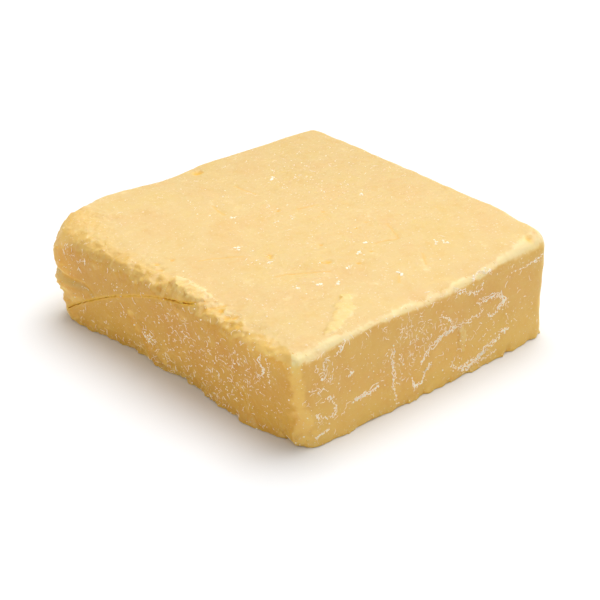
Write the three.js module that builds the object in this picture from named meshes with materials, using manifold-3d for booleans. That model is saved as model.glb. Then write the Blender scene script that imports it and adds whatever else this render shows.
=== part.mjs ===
// A low, nearly square block of cheddar, about 400 g, cut by hand from a larger cheese.
// It is one solid: the cut body with its uneven sides and rounded edges, its crack, folds, chips and pits,
// and the crust lines, torn flakes and crystals that stand on it.
// Units are millimetres. +Z is up, and the block lies on z = 0 with its middle at x = y = 0.
// Of its sides, the one facing -Y is crumbly, cracked and chipped, and the others are smoother.

import * as THREE from "three";
import { mergeVertices } from "three/addons/utils/BufferGeometryUtils.js";
import Module from "manifold-3d";

const wasm = await Module();
wasm.setup();

const WIDTH = 113;
const DEPTH = 106;
const HEIGHT = 32.7;

// The four upright edges, by where they stand: the sign of x and of y.
// rounding is the radius there of the top's rim and of the edge's foot.
// top and foot are how far the cut corner is from the corner of a true box.
const CORNERS = [
  { x: -1, y: -1, rounding: [11.6, 10.7], top: [-3.5, -2.8, -0.2], foot: [2.9, -1.4, 0] }, // left
  { x: 1, y: -1, rounding: [5, 6.9], top: [1.1, 1, -1.8], foot: [1.7, 5.6, 0] }, // front
  { x: 1, y: 1, rounding: [5.7, 5.2], top: [-0.4, 0.8, 2.5], foot: [0.8, -1.4, 0] }, // right
  { x: -1, y: 1, rounding: [3, 2], top: [2.9, 2.2, 0], foot: [2.1, -0.4, 0] }, // back
];
const RIM_ROUNDING = 2.7;
const CRUMBLY_RIM_ROUNDING = 5.5; // along the -Y side
const FOOT_ROUNDING = 2.5; // of an upright edge's foot, away from the corners above
const FOOT_FILLET = 0.9;

// Lines of the body's grid along each side. Some of them turn its rounded edges: these many at each edge.
const LINES = { x: 38, y: 36, z: 12 };
const RIM_STEPS = 3;
const FOOT_STEPS = 1;

// Smooth random relief: how far apart its bumps are, and how high.
const WAVES = { spacing: 24, height: 0.35 };
const DENTS = { spacing: 11, height: 0.2 };
const LUMPS = { spacing: 6, height: 0.75 }; // these two only where the cheese is crumbly
const CRUMBS = { spacing: 2.6, height: 0.4 };

// Where the cheese is crumbly: ellipsoids, by their middle and how far they reach along x, y and z.
const CRUMBLY = [
  { at: [0, -53, 31], reach: [80, 7, 6] },
  { at: [-58, -54, 18], reach: [10, 12, 22] },
  { at: [-10, -52, 0], reach: [60, 8, 4] },
  { at: [52, -48, 2], reach: [7, 7, 7] },
];

// Swellings, and hollows where the height is below zero, of the same kind.
const SWELLS = [
  { at: [-58, -52, 22], reach: [9, 9, 5], height: 0.5 }, // upper lobe of the left corner
  { at: [-56, -53, 12.2], reach: [8, 8, 3], height: 1.1 }, // middle lobe
  { at: [-55, -52, 4.5], reach: [8, 8, 3], height: 0.8 }, // lower lobe
  { at: [-59, -34, 31], reach: [6, 12, 6], height: 0.6 }, // shoulder of the left corner
  { at: [-55, -6, 32], reach: [8, 10, 12], height: -1.1 }, // sunken rim of the far side
  { at: [-18, -53, 0], reach: [15, 12, 9], height: -2.6 }, // broken foot
  { at: [6, -51, 0], reach: [9, 12, 9], height: -1.9 }, // broken foot's deepest part
  { at: [33, -50, 0], reach: [11, 12, 8], height: 1.6 }, // standing foot
  { at: [57, 22, 0], reach: [14, 34, 8], height: 0.9 }, // spread foot of the smooth side
  { at: [56, 4, 20], reach: [9, 14, 9], height: -0.5 }, // hollow of the smooth side
  { at: [5, -51, 30], reach: [12, 6, 5], height: 0.7 }, // swollen rim
];

// Where the top sags towards its rim, at any height.
const SAGS = [
  { at: [58, 12, 0], reach: [12, 28, Infinity], depth: 3.2 }, // smooth side
  { at: [38, -54, 0], reach: [16, 8, Infinity], depth: 1.3 }, // crumbly side, near the front corner
  { at: [-58, -22, 0], reach: [14, 14, Infinity], depth: 0.9 }, // far side
  { at: [-57, -50, 0], reach: [8, 8, Infinity], depth: 1.2 }, // left corner
];

// A place on a side is how far across it and how far up it, from the block's middle on the floor.
const SIDES = {
  crumbly: { out: [0, -1, 0], across: [1, 0, 0], up: [0, 0, 1] },
  smooth: { out: [1, 0, 0], across: [0, 1, 0], up: [0, 0, 1] },
  back: { out: [0, 1, 0], across: [1, 0, 0], up: [0, 0, 1] },
  far: { out: [-1, 0, 0], across: [0, 1, 0], up: [0, 0, 1] },
  top: { out: [0, 0, 1], across: [1, 0, 0], up: [0, 1, 0] },
  corner: { out: [-0.7071, -0.7071, 0], across: [0.7071, -0.7071, 0], up: [0, 0, 1] }, // the left one
};

// The crack in the crumbly side is a parabola. Its upper lip stands out over the lower one.
const CRACK = { from: [-46.5, 4.6], bend: [-16, 24.8], to: [14.5, 30.6], opening: 0.8, depth: 3.5 };
const LIP = 0.6;
const LIP_REACH = 7;
const FOLDS = [
  { side: "corner", line: [[-10, 16.5], [0, 16.2], [9, 16.6], [15.5, 15.6]], opening: 0.9, depth: 1.6 },
  { side: "corner", line: [[-6, 9.2], [0, 8.4], [5.5, 6.4]], opening: 0.9, depth: 1.5 },
  { side: "crumbly", line: [[34.3, 7.5], [35.4, 4], [36.4, 0.5]], opening: 0.6, depth: 0.8 },
];

// Flat breaks, each through three points, with what is outside them gone.
const BREAKS = [
  { points: [[50, -49.6, 5], [56.5, -48.4, 1], [52.5, -46.6, 0]] }, // chip off the front corner's foot
];
const BREAK_SIZE = 9;

// Pits, by side and place.
const PIT_FLATNESS = 0.8;
const PITS = [
  { side: "top", at: [8.9, -18.6], radius: 1.1 },
  { side: "top", at: [-1.6, 12.2], radius: 0.8 },
  { side: "top", at: [-11.4, 2.3], radius: 0.9 },
  { side: "top", at: [13.7, 11.9], radius: 0.9 },
  { side: "top", at: [23.8, -8.7], radius: 1.2 },
  { side: "top", at: [14.5, -3.1], radius: 0.8 },
  { side: "top", at: [26.5, -49.2], radius: 1.6 },
  { side: "top", at: [29, -49.8], radius: 1.8 },
  { side: "top", at: [31.4, -50.2], radius: 1.3 },
  { side: "top", at: [-9.5, -47.2], radius: 1.5 },
  { side: "top", at: [-5, -48.2], radius: 1.3 },
  { side: "top", at: [-51.5, 2.2], radius: 1.5 },
  { side: "top", at: [53.5, 46], radius: 1.4 },
  { side: "smooth", at: [-37.9, 0.2], radius: 1.1 },
  { side: "smooth", at: [-28.3, 0.2], radius: 1.3 },
  { side: "smooth", at: [-1.6, 0.2], radius: 1.4 },
  { side: "smooth", at: [34, 0.2], radius: 1.2 },
];

// Lines of pale dried crust, by side: half their width, and the points they run through.
const CRUST = [
  { side: "smooth", half: 0.5, line: [[-39.2, 26.6], [-41.1, 25.2], [-40.9, 22.3], [-42.2, 21]] },
  { side: "smooth", half: 0.45, line: [[-32.5, 30], [-34.4, 27.3], [-36.1, 26.5]] },
  { side: "smooth", half: 0.5, line: [[-40.3, 15], [-36.6, 10.5], [-37.9, 8.1], [-41.3, 8.4], [-44, 10.4]] },
  { side: "smooth", half: 0.5, line: [[-39.2, 4.8], [-43.2, 4.1], [-43.8, 1.7]] },
  { side: "smooth", half: 0.8, line: [[-19.6, 11], [-23, 9.8], [-26.8, 9.5], [-30.1, 9.6]] },
  { side: "smooth", half: 0.5, line: [[-14.1, 21.2], [-14.2, 17.2], [-13.7, 12.7], [-13.2, 2.5]] },
  { side: "smooth", half: 0.8, line: [[25.5, 16], [27.3, 15.3], [32.7, 18.3], [29.8, 21.1], [20.9, 21.2]] },
  { side: "smooth", half: 0.6, line: [[23.2, 19.3], [15, 17.6], [6.5, 16.6], [0.2, 13.6], [-3.5, 10.3]] },
  { side: "smooth", half: 0.5, line: [[6.3, 22.6], [9.5, 20.1], [11.2, 17.8]] },
  { side: "smooth", half: 0.8, line: [[8.5, 5.4], [12.3, 3.6], [20.6, 3.8], [28.3, 6.1], [33.9, 8.8]] },
  { side: "smooth", half: 0.6, line: [[14, 2], [19, 2.7], [23.4, 2.4], [28.8, 3.4]] },
  { side: "smooth", half: 0.4, line: [[35.1, 26.7], [43, 26.7], [49.1, 28.1]] },
  { side: "smooth", half: 0.5, line: [[11.4, 27.3], [13.4, 27.9], [20.1, 25.3], [23, 27.8]] },
  { side: "smooth", half: 0.5, line: [[-6.8, 7.4], [-5.9, 4.5], [-2.2, 4.3], [1.4, 9.2]] },
  { side: "crumbly", half: 0.4, line: [[46.2, 27.5], [47.2, 24.5], [46.4, 20.5], [46.8, 17]] },
  { side: "crumbly", half: 0.9, line: [[-11.5, 10.2], [-8, 10.8], [-4.8, 9.5]] },
  { side: "back", half: 0.6, line: [[-30, 20], [-22, 22], [-12, 18], [-4, 19]] },
  { side: "back", half: 0.6, line: [[18, 9], [24, 12], [33, 10], [38, 14]] },
  { side: "far", half: 0.6, line: [[-20, 12], [-10, 9], [-3, 12], [6, 10]] },
  { side: "far", half: 0.5, line: [[22, 24], [30, 21], [37, 22]] },
];
const CRUST_HEIGHT = 0.45;
const CRUST_STEP = 3.4;

// Torn pieces that lie on the surface: the line each lies along, and half its width at each point.
const FLAKES = [
  {
    side: "top",
    line: [[42.5, -19], [45.8, -22.5], [49, -28], [52, -33.5], [53.5, -36]],
    half: [1, 2.6, 2.2, 1.4, 0.7],
    thick: 0.5,
  },
  { side: "top", line: [[4, -47.5], [9, -48], [13.5, -48.9]], half: [1.3, 2.4, 1.8], thick: 0.5 },
  { side: "smooth", line: [[14.8, 15.7], [14.3, 12.4], [14.6, 8]], half: [0.7, 1.5, 0.8], thick: 0.6 },
];

// The largest crystals: a few of known place on the top, and the rest at random on every side.
const TOP_CRYSTALS = [[-31, 16.5], [-17.5, -10.5], [-1, -22.5], [22.5, 7], [30.5, -7], [32, -19.5], [37, 23]];
const RANDOM_CRYSTALS = { crumbly: 10, smooth: 6, back: 5, far: 5, top: 4 };
const CRYSTAL_RADIUS = [0.7, 1.1];
const CRYSTAL_FLATNESS = 0.6;
const EDGE_MARGIN = 5; // kept free of them

const HALF = new THREE.Vector3(WIDTH / 2, DEPTH / 2, HEIGHT / 2);
const { clamp, lerp, smoothstep } = THREE.MathUtils;

// Seeded random numbers from 0 to 1.
function randomNumbers(seed) {
  let state = seed;
  return () => {
    state = (state * 16807) % 2147483647;
    return state / 2147483647;
  };
}

// Smooth random heights between -1 and 1, with bumps that are the spacing apart.
function noise(point, spacing, seed) {
  const cell = point.clone().divideScalar(spacing);
  const low = cell.clone().floor();
  const share = cell.sub(low);
  let sum = 0;
  for (let corner = 0; corner < 8; corner++) {
    const step = [corner & 1, (corner >> 1) & 1, corner >> 2];
    let weight = 1;
    let wave = seed * 53.3;
    ["x", "y", "z"].forEach((axis, n) => {
      weight *= smoothstep(step[n] ? share[axis] : 1 - share[axis], 0, 1);
      wave += (low[axis] + step[n]) * [127.1, 311.7, 74.7][n];
    });
    wave = Math.sin(wave) * 43758.5453;
    sum += weight * (2 * (wave - Math.floor(wave)) - 1);
  }
  return sum;
}

// How near a point is to the middle of an ellipsoid: 1 there, and falling smoothly to 0 outside.
function nearness(point, { at, reach }) {
  const away = point.clone().sub(new THREE.Vector3(...at)).divide(new THREE.Vector3(...reach));
  return Math.exp(-away.lengthSq());
}

// The crack's line on the crumbly side.
const crackLine = new THREE.QuadraticBezierCurve(
  new THREE.Vector2(...CRACK.from),
  new THREE.Vector2(...CRACK.bend),
  new THREE.Vector2(...CRACK.to),
);

// How far the lip above the crack stands out at a point.
function lip(point) {
  const share = (point.x - CRACK.from[0]) / (CRACK.to[0] - CRACK.from[0]);
  if (share <= 0 || share >= 1 || point.y > 0) return 0;
  const above = point.z - crackLine.getPoint(share).y;
  if (above < 0 || above > LIP_REACH) return 0;
  const fade = 1 - above / LIP_REACH;
  return LIP * fade * fade * Math.sin(share * Math.PI);
}

// The height of the relief at a point of the smooth body.
function relief(point) {
  const crumbly = Math.max(...CRUMBLY.map((place) => nearness(point, place)));
  let height = WAVES.height * noise(point, WAVES.spacing, 1) + DENTS.height * noise(point, DENTS.spacing, 2);
  height += crumbly * LUMPS.height * noise(point, LUMPS.spacing, 3);
  height += crumbly * CRUMBS.height * noise(point, CRUMBS.spacing, 4);
  for (const swell of SWELLS) height += swell.height * nearness(point, swell);
  return height + lip(point);
}

// A mix of the four corners' values at a place given by shares of the width and depth, each from -1 to 1.
function cornerMix(u, v, valueOf) {
  let sum = 0;
  for (const corner of CORNERS) {
    sum += ((1 + u * corner.x) * (1 + v * corner.y) * valueOf(corner)) / 4;
  }
  return sum;
}

// The place along one axis of grid line i of n, between -half and half.
// The first and the last lines, which turn an edge, are spread over that edge's rounding.
function station(i, n, half, roundLow, roundHigh, stepsLow = RIM_STEPS) {
  const turn = (share) => 1 - Math.tan(((1 - share) * Math.PI) / 4);
  if (i < stepsLow) return -half + roundLow * turn(i / stepsLow);
  if (i > n - RIM_STEPS) return half - roundHigh * turn((n - i) / RIM_STEPS);
  return lerp(roundLow - half, half - roundHigh, (i - stepsLow) / (n - stepsLow - RIM_STEPS));
}

// The rounding of the nearest edges at a place given by shares of the width, depth and height from -1 to 1.
function roundingAt(u, v, w) {
  let rim = lerp(RIM_ROUNDING, CRUMBLY_RIM_ROUNDING, smoothstep(-v, 0.5, 1));
  let foot = FOOT_ROUNDING;
  for (const corner of CORNERS) {
    const near = smoothstep(u * corner.x, 0.45, 1) * smoothstep(v * corner.y, 0.45, 1);
    rim = lerp(rim, corner.rounding[0], near);
    foot = lerp(foot, corner.rounding[1], near);
  }
  return lerp(foot, rim, smoothstep(w, -1, 0.2));
}

// A point of the smooth body, from its grid lines: a box with its edges rounded and its corners then moved.
function bodyPoint(i, j, k) {
  const u = (2 * i) / LINES.x - 1;
  const v = (2 * j) / LINES.y - 1;
  const w = (2 * k) / LINES.z - 1;
  const point = new THREE.Vector3(
    station(i, LINES.x, HALF.x, roundingAt(-1, v, w), roundingAt(1, v, w)),
    station(j, LINES.y, HALF.y, roundingAt(u, -1, w), roundingAt(u, 1, w)),
    station(k, LINES.z, HALF.z, FOOT_FILLET, roundingAt(u, v, 1), FOOT_STEPS),
  );

  const share = point.clone().divide(HALF);
  const side = roundingAt(share.x, share.y, share.z);
  const round = new THREE.Vector3(side, side, roundingAt(share.x, share.y, 1));
  const inner = point.clone().clamp(round.clone().sub(HALF), HALF.clone().sub(round));
  if (point.z < 0) inner.z = point.z;
  const out = point.clone().sub(inner);
  const reach = out.clone().divide(round).length();
  if (reach > 0) point.copy(inner).addScaledVector(out, 1 / reach);

  const tuck = clamp(1 - (point.z + HALF.z) / FOOT_FILLET, 0, 1);
  point.addScaledVector(out.setZ(0).normalize(), FOOT_FILLET * (Math.sqrt(1 - tuck * tuck) - 1));

  share.copy(point).divide(HALF);
  ["x", "y", "z"].forEach((axis, n) => {
    const atFoot = cornerMix(share.x, share.y, (corner) => corner.foot[n]);
    const atTop = cornerMix(share.x, share.y, (corner) => corner.top[n]);
    point[axis] += lerp(atFoot, atTop, (share.z + 1) / 2);
  });
  point.z += HALF.z;
  const sag = SAGS.reduce((sum, place) => sum + place.depth * nearness(point, place), 0);
  point.z *= 1 - sag / HEIGHT;
  return point;
}

// The body's closed surface: a grid over the top and the four sides, and one flat foot.
function smoothBody() {
  const positions = [];
  const triangles = [];
  const numbered = new Map();
  const vertex = (i, j, k) => {
    const key = `${i},${j},${k}`;
    if (!numbered.has(key)) {
      numbered.set(key, numbered.size);
      positions.push(...bodyPoint(i, j, k).toArray());
    }
    return numbered.get(key);
  };
  const quad = (a, b, c, d) => triangles.push(a, b, c, a, c, d);

  const top = LINES.z;
  for (let i = 0; i < LINES.x; i++) {
    for (let j = 0; j < LINES.y; j++) {
      quad(vertex(i, j, top), vertex(i + 1, j, top), vertex(i + 1, j + 1, top), vertex(i, j + 1, top));
    }
  }

  const ring = [];
  for (let i = 0; i < LINES.x; i++) ring.push([i, 0]);
  for (let j = 0; j < LINES.y; j++) ring.push([LINES.x, j]);
  for (let i = LINES.x; i > 0; i--) ring.push([i, LINES.y]);
  for (let j = LINES.y; j > 0; j--) ring.push([0, j]);
  ring.forEach(([i, j], n) => {
    const [i2, j2] = ring[(n + 1) % ring.length];
    for (let k = 0; k < top; k++) {
      quad(vertex(i, j, k), vertex(i2, j2, k), vertex(i2, j2, k + 1), vertex(i, j, k + 1));
    }
  });

  const foot = ring.map(([i, j]) => vertex(i, j, 0));
  const outline = foot.map((n) => new THREE.Vector2(positions[3 * n], positions[3 * n + 1]));
  for (const [a, b, c] of THREE.ShapeUtils.triangulateShape(outline, [])) {
    triangles.push(foot[a], foot[c], foot[b]);
  }

  const geometry = new THREE.BufferGeometry();
  geometry.setAttribute("position", new THREE.Float32BufferAttribute(positions, 3));
  geometry.setIndex(triangles);
  return geometry;
}

// The body with its relief. In the lower half this only moves a point sideways, so the foot stays flat.
function bodyGeometry() {
  const geometry = smoothBody();
  geometry.computeVertexNormals();
  const { position, normal } = geometry.attributes;
  const point = new THREE.Vector3();
  const way = new THREE.Vector3();
  for (let n = 0; n < position.count; n++) {
    point.fromBufferAttribute(position, n);
    way.fromBufferAttribute(normal, n);
    if (point.z < HALF.z) way.setZ(0).normalize();
    point.addScaledVector(way, relief(point));
    position.setXYZ(n, point.x, point.y, Math.max(point.z, 0));
  }
  geometry.deleteAttribute("normal");
  return geometry;
}

// A closed mesh as a solid that can be joined and cut. One that is inside out is turned.
function solidOf(geometry) {
  for (const name of ["normal", "uv"]) geometry.deleteAttribute(name);
  const merged = mergeVertices(geometry);
  const triangles = new Uint32Array(merged.index.array);
  const [a, b, c] = [new THREE.Vector3(), new THREE.Vector3(), new THREE.Vector3()];
  let volume = 0;
  for (let n = 0; n < triangles.length; n += 3) {
    a.fromBufferAttribute(merged.attributes.position, triangles[n]);
    b.fromBufferAttribute(merged.attributes.position, triangles[n + 1]);
    c.fromBufferAttribute(merged.attributes.position, triangles[n + 2]);
    volume += a.dot(b.cross(c));
  }
  if (volume < 0) triangles.reverse();
  const vertices = merged.attributes.position.array;
  return new wasm.Manifold(new wasm.Mesh({ numProp: 3, vertProperties: vertices, triVerts: triangles }));
}

const body = bodyGeometry();
const bodyMesh = new THREE.Mesh(body, new THREE.MeshBasicMaterial({ side: THREE.DoubleSide }));
const SIGHT = 100;

// The point of the body's surface at a place on a side, and the way out of the surface there.
function surfaceAt(side, [across, up]) {
  const frame = SIDES[side];
  const out = new THREE.Vector3(...frame.out);
  const start = out.clone().multiplyScalar(SIGHT);
  start.addScaledVector(new THREE.Vector3(...frame.across), across);
  start.addScaledVector(new THREE.Vector3(...frame.up), up);
  const hit = new THREE.Raycaster(start, out.negate()).intersectObject(bodyMesh)[0];
  return { point: hit.point, out: hit.face.normal };
}

// A closed strip along places on the surface.
// section(share) gives its cross-section at a share of its length, as points [sideways, outward].
function strip(places, section) {
  const positions = [];
  const triangles = [];
  const sides = section(0).length;
  const last = places.length - 1;
  places.forEach(({ point, out }, n) => {
    const along = places[Math.min(n + 1, last)].point.clone().sub(places[Math.max(n - 1, 0)].point);
    const sideways = new THREE.Vector3().crossVectors(out, along).normalize();
    for (const [across, height] of section(n / last)) {
      const place = point.clone().addScaledVector(sideways, across).addScaledVector(out, height);
      positions.push(...place.toArray());
    }
  });
  for (let n = 0; n < last; n++) {
    for (let s = 0; s < sides; s++) {
      const [a, b] = [n * sides + s, n * sides + ((s + 1) % sides)];
      triangles.push(a, b, b + sides, a, b + sides, a + sides);
    }
  }
  for (let s = 1; s < sides - 1; s++) {
    const end = last * sides;
    triangles.push(0, s + 1, s, end, end + s, end + s + 1);
  }
  const geometry = new THREE.BufferGeometry();
  geometry.setAttribute("position", new THREE.Float32BufferAttribute(positions, 3));
  geometry.setIndex(triangles);
  return solidOf(geometry);
}

// Places along a smooth line through points on a side, about the step apart.
function placesAlong(side, points, step) {
  const curve = new THREE.SplineCurve(points.map((point) => new THREE.Vector2(...point)));
  const count = Math.max(2, Math.round(curve.getLength() / step));
  return curve.getSpacedPoints(count).map((point) => surfaceAt(side, point.toArray()));
}

// A wedge that cuts a crack: open at the surface and closed below it, and narrower towards its ends.
function crackCut(places, opening, depth) {
  return strip(places, (share) => {
    const width = opening * (0.3 + 0.7 * Math.sin(share * Math.PI));
    return [[-width, 1], [width, 1], [0, -depth]];
  });
}

// A flat break through three points: a box to cut away, outside their plane.
function breakCut(points) {
  const [a, b, c] = points.map((point) => new THREE.Vector3(...point));
  const plane = new THREE.Plane().setFromCoplanarPoints(a, b, c);
  if (plane.normal.z > 0) plane.negate();
  const middle = a.clone().add(b).add(c).divideScalar(3);
  const box = new THREE.BoxGeometry(BREAK_SIZE, BREAK_SIZE, BREAK_SIZE);
  box.translate(0, 0, BREAK_SIZE / 2);
  box.applyQuaternion(new THREE.Quaternion().setFromUnitVectors(new THREE.Vector3(0, 0, 1), plane.normal));
  box.translate(middle.x, middle.y, middle.z);
  return solidOf(box);
}

// An uneven lump, as a crystal is or a pit that a crumb has left, with its middle at a place on the surface.
function lump({ point, out }, radius, flatness, random) {
  const shape = new THREE.IcosahedronGeometry(radius, 0);
  for (const name of ["normal", "uv"]) shape.deleteAttribute(name);
  const merged = mergeVertices(shape);
  const { position } = merged.attributes;
  for (let n = 0; n < position.count; n++) {
    const size = lerp(0.75, 1.2, random());
    position.setXYZ(n, position.getX(n) * size, position.getY(n) * size, position.getZ(n) * size * flatness);
  }
  merged.applyQuaternion(new THREE.Quaternion().setFromUnitVectors(new THREE.Vector3(0, 0, 1), out));
  merged.translate(point.x, point.y, point.z);
  return solidOf(merged);
}

function cuts() {
  const random = randomNumbers(11);
  const crack = crackLine.getPoints(16).map((point) => surfaceAt("crumbly", point.toArray()));
  const solids = [crackCut(crack, CRACK.opening / 2, CRACK.depth)];
  for (const fold of FOLDS) {
    solids.push(crackCut(placesAlong(fold.side, fold.line, CRUST_STEP), fold.opening / 2, fold.depth));
  }
  for (const { points } of BREAKS) solids.push(breakCut(points));
  for (const pit of PITS) solids.push(lump(surfaceAt(pit.side, pit.at), pit.radius, PIT_FLATNESS, random));
  return solids;
}

function crustLine({ side, half, line }, random) {
  return strip(placesAlong(side, line, CRUST_STEP), (share) => {
    const width = half * lerp(0.6, 1.3, random()) * (share === 0 || share === 1 ? 0.4 : 1);
    const height = CRUST_HEIGHT * lerp(0.6, 1.2, random());
    return [[-width, -0.5], [width, -0.5], [0.4 * width, height], [-0.5 * width, height]];
  });
}

function flake({ side, line, half, thick }, random) {
  const places = line.map((place) => surfaceAt(side, place));
  return strip(places, (share) => {
    const width = half[Math.round(share * (half.length - 1))];
    const rise = thick * lerp(0.7, 1.2, random());
    return [[-width, -0.6], [width, -0.6], [width * 0.9, rise], [-width * 0.8, 0.8 * rise]];
  });
}

function crystals(random) {
  const places = TOP_CRYSTALS.map((place) => surfaceAt("top", place));
  const within = (half) => lerp(-1, 1, random()) * (half - EDGE_MARGIN);
  for (const [side, count] of Object.entries(RANDOM_CRYSTALS)) {
    for (let n = 0; n < count; n++) {
      const across = within(HALF.y);
      const up = side === "top" ? within(HALF.x) : HALF.z + within(HALF.z);
      places.push(surfaceAt(side, [across, up]));
    }
  }
  return places.map((place) => lump(place, lerp(...CRYSTAL_RADIUS, random()), CRYSTAL_FLATNESS, random));
}

function additions() {
  const random = randomNumbers(29);
  const crust = CRUST.map((vein) => crustLine(vein, random));
  const flakes = FLAKES.map((piece) => flake(piece, random));
  return [...crust, ...flakes, ...crystals(randomNumbers(7))];
}

// The whole block: the body, cut and joined, and of that the one largest piece.
function blockGeometry() {
  let solid = solidOf(body.clone());
  for (const addition of additions()) solid = solid.add(addition);
  for (const cut of cuts()) solid = solid.subtract(cut);
  const pieces = solid.decompose().sort((a, b) => b.volume() - a.volume());
  const { vertProperties, triVerts } = pieces[0].getMesh();
  const geometry = new THREE.BufferGeometry();
  geometry.setAttribute("position", new THREE.Float32BufferAttribute(vertProperties, 3));
  geometry.setIndex([...triVerts]);
  return geometry;
}

const cheese = new THREE.MeshStandardMaterial({ color: 0xeac67a, roughness: 0.55, metalness: 0 });
const block = new THREE.Mesh(blockGeometry(), cheese);
block.name = "cheese_block";

const group = new THREE.Group();
group.add(block);
export default group;
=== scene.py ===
"""A block of cheddar of about 400 g on a pale floor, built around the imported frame.

Sizes are in millimetres until a mesh is made, and +Z is up.
The side facing -Y is crumbly, cracked and chipped, and the others are smoother.
"""

import itertools
import math

import bmesh
import bpy
import numpy as np
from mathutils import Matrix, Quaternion, Vector
from mathutils.bvhtree import BVHTree


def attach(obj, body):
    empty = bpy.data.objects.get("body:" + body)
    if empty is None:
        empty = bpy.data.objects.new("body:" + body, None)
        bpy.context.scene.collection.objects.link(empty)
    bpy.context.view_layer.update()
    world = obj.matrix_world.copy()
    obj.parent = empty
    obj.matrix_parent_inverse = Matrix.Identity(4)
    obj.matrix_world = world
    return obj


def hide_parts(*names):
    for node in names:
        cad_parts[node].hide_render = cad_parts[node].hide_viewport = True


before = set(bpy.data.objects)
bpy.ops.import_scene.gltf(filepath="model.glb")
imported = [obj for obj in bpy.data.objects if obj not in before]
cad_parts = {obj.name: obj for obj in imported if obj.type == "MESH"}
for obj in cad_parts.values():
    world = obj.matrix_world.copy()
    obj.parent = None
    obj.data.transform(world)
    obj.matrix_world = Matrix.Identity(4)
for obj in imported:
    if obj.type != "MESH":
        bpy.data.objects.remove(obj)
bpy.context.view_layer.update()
MM = 0.001

# The block's own sizes, as the solid has them
WIDTH, DEPTH, HEIGHT = 113, 106, 32.7
HALF = np.array([WIDTH, DEPTH, HEIGHT]) / 2

# The four upright edges, by where they stand: the sign of x and of y.
# rounding is the radius there of the top's rim and of the edge's foot.
# top and foot are how far the cut corner is from the corner of a true box.
CORNERS = [
    dict(x=-1, y=-1, rounding=(11.6, 10.7), top=(-3.5, -2.8, -0.2), foot=(2.9, -1.4, 0)),
    dict(x=1, y=-1, rounding=(5, 6.9), top=(1.1, 1, -1.8), foot=(1.7, 5.6, 0)),
    dict(x=1, y=1, rounding=(5.7, 5.2), top=(-0.4, 0.8, 2.5), foot=(0.8, -1.4, 0)),
    dict(x=-1, y=1, rounding=(3, 2), top=(2.9, 2.2, 0), foot=(2.1, -0.4, 0)),
]
RIM_ROUNDING, CRUMBLY_RIM_ROUNDING = 2.7, 5.5
FOOT_ROUNDING, FOOT_FILLET = 2.5, 0.4

# Where one rounding turns into another, as shares of the way from the middle to a side or corner
CRUMBLY_FROM, CORNER_FROM, FOOT_TO_RIM = 0.5, 0.45, (-1, 0.2)

# Lines of the body's fine grid along each side, and how many of them turn each rounded edge
LINES = (184, 172, 56)
RIM_STEPS, FOOT_STEPS = 8, 2

# Points of the body's mesh this close, in metres, are one, and edges sharper than this stay sharp.
SAME_POINT, SHARP = 1e-7, math.radians(45)

# Odd numbers that make the relief's hash look random
HASH_AXES, HASH_SEED, HASH_SCALE = (127.1, 311.7, 74.7), 53.3, 43758.5453

# Random relief: spacing, height and seed. The ragged kind is at the foot, up to its own height.
WAVES, DENTS = (24, 0.35, 1), (11, 0.2, 2)
LUMPS, CRUMBS = (6, 0.75, 3), (2.6, 0.4, 4)
PEBBLES = (1.9, 1.1, 7)
GRAIN, SKIN = (0.9, 0.05, 5), (3.4, 0.19, 10)
RAGGED, RAGGED_HEIGHT = (2.6, 0.7, 6), 3.5

# Where the cheese is crumbly: ellipsoids, by middle and reach
CRUMBLY = [
    ((0, -53, 31), (80, 7, 6)),
    ((-58, -54, 18), (10, 12, 22)),
    ((-50, -46, 32), (14, 9, 8)),
    ((-10, -52, 0), (60, 8, 4)),
    ((52, -48, 2), (7, 7, 7)),
]

# Swellings, and hollows where the height is below zero: middle, reach and height
SWELLS = [
    ((-58, -52, 22), (9, 9, 5), 0.5),
    ((-56, -53, 12.2), (8, 8, 3.2), 1.5),
    ((-55, -52, 4.5), (8, 8, 3), 1.1),
    ((-59, -34, 31), (6, 12, 6), 0.6),
    ((-55, -6, 32), (8, 10, 12), -1.1),
    ((-18, -53, 0), (15, 12, 9), -2.6),
    ((6, -51, 0), (9, 12, 9), -1.9),
    ((33, -50, 0), (11, 12, 8), 1.6),
    ((57, 22, 0), (14, 34, 8), 0.9),
    ((56, 4, 20), (9, 14, 9), -0.5),
    ((5, -51, 30), (12, 6, 5), 0.7),
    ((-57, -52, 16.3), (9, 9, 1.2), -1.1),
    ((-56, -52, 8.6), (9, 9, 1.2), -1),
    ((-50, -52, 20.5), (5, 8, 3), 0.5),
    ((-40, -54, 12), (7, 6, 2.5), 0.5),
    ((10, -52, 30.5), (7, 4, 3), 1),
]

# Where the top sags towards its rim: middle, reach and depth
SAGS = [
    ((58, 12), (12, 28), 3.2),
    ((38, -54), (16, 8), 1.8),
    ((-58, -22), (14, 14), 0.9),
    ((-57, -50), (8, 8), 1.2),
]

# A place on a side is how far across it and how far up it, from the block's middle on the floor.
DIAGONAL = math.sqrt(0.5)
SIDES = {
    "crumbly": ((0, -1, 0), (1, 0, 0), (0, 0, 1)),
    "smooth": ((1, 0, 0), (0, 1, 0), (0, 0, 1)),
    "back": ((0, 1, 0), (1, 0, 0), (0, 0, 1)),
    "far": ((-1, 0, 0), (0, 1, 0), (0, 0, 1)),
    "top": ((0, 0, 1), (1, 0, 0), (0, 1, 0)),
    "corner": ((-DIAGONAL, -DIAGONAL, 0), (DIAGONAL, -DIAGONAL, 0), (0, 0, 1)),
    "rim": ((0, -DIAGONAL, DIAGONAL), (1, 0, 0), (0, DIAGONAL, DIAGONAL)),
}

# Marks on a side start and are whole where the surface faces it this much.
FACED = (0.4, 0.8)

# Rays at a side start this far out, and the surface that they meet has to face it this much.
SIGHT, FACING = 100, 0.45

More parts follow.
